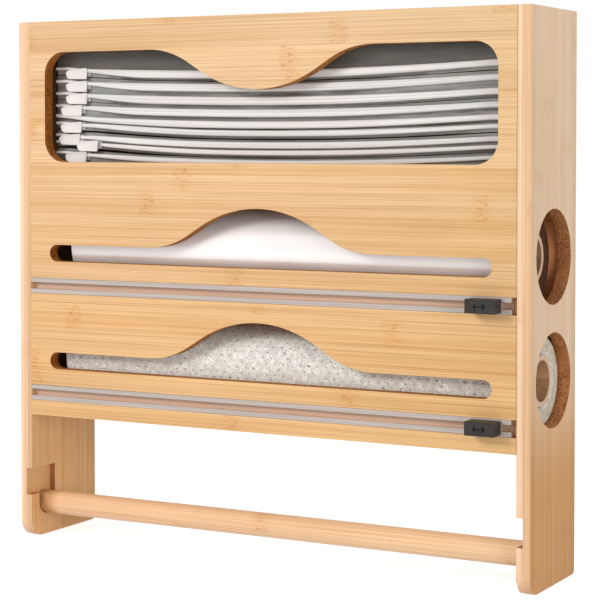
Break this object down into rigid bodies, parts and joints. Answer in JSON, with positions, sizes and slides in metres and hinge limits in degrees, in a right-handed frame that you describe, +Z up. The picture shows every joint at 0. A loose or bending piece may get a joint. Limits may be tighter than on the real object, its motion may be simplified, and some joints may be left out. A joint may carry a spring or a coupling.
{
  "type": "wall-mounted kitchen roll holder",
  "caption": "Bamboo wall holder with a bag window, slots for wrap rolls with sliding cutters, side ports for loading and a lift-out towel rod between its legs.",
  "frame": {"origin": "on the back plane, midway between the entry holes of the two hanger plates", "axes": "+X to the right seen from the front, +Y towards the wall, +Z up"},
  "size_m": [0.36, 0.0851, 0.34],
  "materials": {
    "bamboo_front": "clear satin lacquer over fine horizontal bamboo grain",
    "bamboo_side": "clear satin lacquer over vertical bamboo grain",
    "bamboo_board": "sanded bamboo, thin lacquer",
    "bamboo_rod": "turned bamboo, satin lacquer",
    "dowel_wood": "plain wood",
    "zinc_steel": "zinc plated",
    "clear_plastic": "frosted extruded plastic",
    "black_plastic": "fine moulded texture",
    "runner_plastic": "smooth moulded plastic",
    "blade_steel": "ground steel",
    "cling_film": "tight clear film, milky on the roll",
    "core_board": "spiral wound cardboard",
    "wipe_cloth": "embossed non-woven cloth",
    "bag_film": "milky film with a thick zip",
    "slider_plastic": "white moulded plastic"
  },
  "bodies": {
    "holder": {"front_panel": "bamboo_front", "left_side_panel": "bamboo_side", "right_side_panel": "bamboo_side", "back_panel": "bamboo_board", "top_panel": "bamboo_board", "bag_shelf": "bamboo_board", "roll_divider": "bamboo_board", "bottom_panel": "bamboo_board", "top_panel_dowels": "dowel_wood", "bag_shelf_dowels": "dowel_wood", "roll_divider_dowels": "dowel_wood", "bottom_panel_dowels": "dowel_wood", "back_panel_screws": "zinc_steel", "left_hanger_plate": "zinc_steel", "right_hanger_plate": "zinc_steel", "hanger_plate_screws": "zinc_steel", "upper_cutter_track": "clear_plastic", "lower_cutter_track": "clear_plastic", "zip_bag_1": "bag_film", "zip_bag_2": "bag_film", "zip_bag_3": "bag_film", "zip_bag_4": "bag_film", "zip_bag_5": "bag_film", "zip_bag_6": "bag_film", "zip_bag_7": "bag_film", "zip_bag_8": "bag_film", "zip_bag_9": "bag_film", "zip_slider_1": "slider_plastic", "zip_slider_2": "slider_plastic", "zip_slider_3": "slider_plastic", "zip_slider_4": "slider_plastic", "zip_slider_5": "slider_plastic", "zip_slider_6": "slider_plastic", "zip_slider_7": "slider_plastic", "zip_slider_8": "slider_plastic", "zip_slider_9": "slider_plastic"},
    "upper_cutter": {"upper_cutter_cap": "black_plastic", "upper_cutter_runner": "runner_plastic", "upper_cutter_blade": "blade_steel"},
    "lower_cutter": {"lower_cutter_cap": "black_plastic", "lower_cutter_runner": "runner_plastic", "lower_cutter_blade": "blade_steel"},
    "film_core": {"film_core": "core_board"},
    "film_roll": {"film_roll": "cling_film"},
    "wipe_core": {"wipe_core": "core_board"},
    "wipe_roll": {"wipe_roll": "wipe_cloth"},
    "towel_rod": {"towel_rod": "bamboo_rod"}
  },
  "joints": [
    {"name": "upper_cutter_slide", "type": "slide", "parent": "holder", "child": "upper_cutter", "axis": [1, 0, 0], "range_m": [-0.3155, 0.007]},
    {"name": "lower_cutter_slide", "type": "slide", "parent": "holder", "child": "lower_cutter", "axis": [1, 0, 0], "range_m": [-0.3155, 0.007]},
    {"name": "film_roll_load", "type": "slide", "parent": "holder", "child": "film_core", "axis": [1, 0, 0], "range_m": [0, 0.34]},
    {"name": "film_roll_spin", "type": "hinge", "parent": "film_core", "child": "film_roll", "pos_m": [0, -0.0365, -0.10155], "axis": [1, 0, 0], "continuous": true},
    {"name": "wipe_roll_load", "type": "slide", "parent": "holder", "child": "wipe_core", "axis": [1, 0, 0], "range_m": [0, 0.34]},
    {"name": "wipe_roll_spin", "type": "hinge", "parent": "wipe_core", "child": "wipe_roll", "pos_m": [0, -0.0365, -0.17435], "axis": [1, 0, 0], "continuous": true},
    {"name": "towel_rod_lift", "type": "slide", "parent": "holder", "child": "towel_rod", "axis": [0, 0, 1], "range_m": [0, 0.015]}
  ]
}
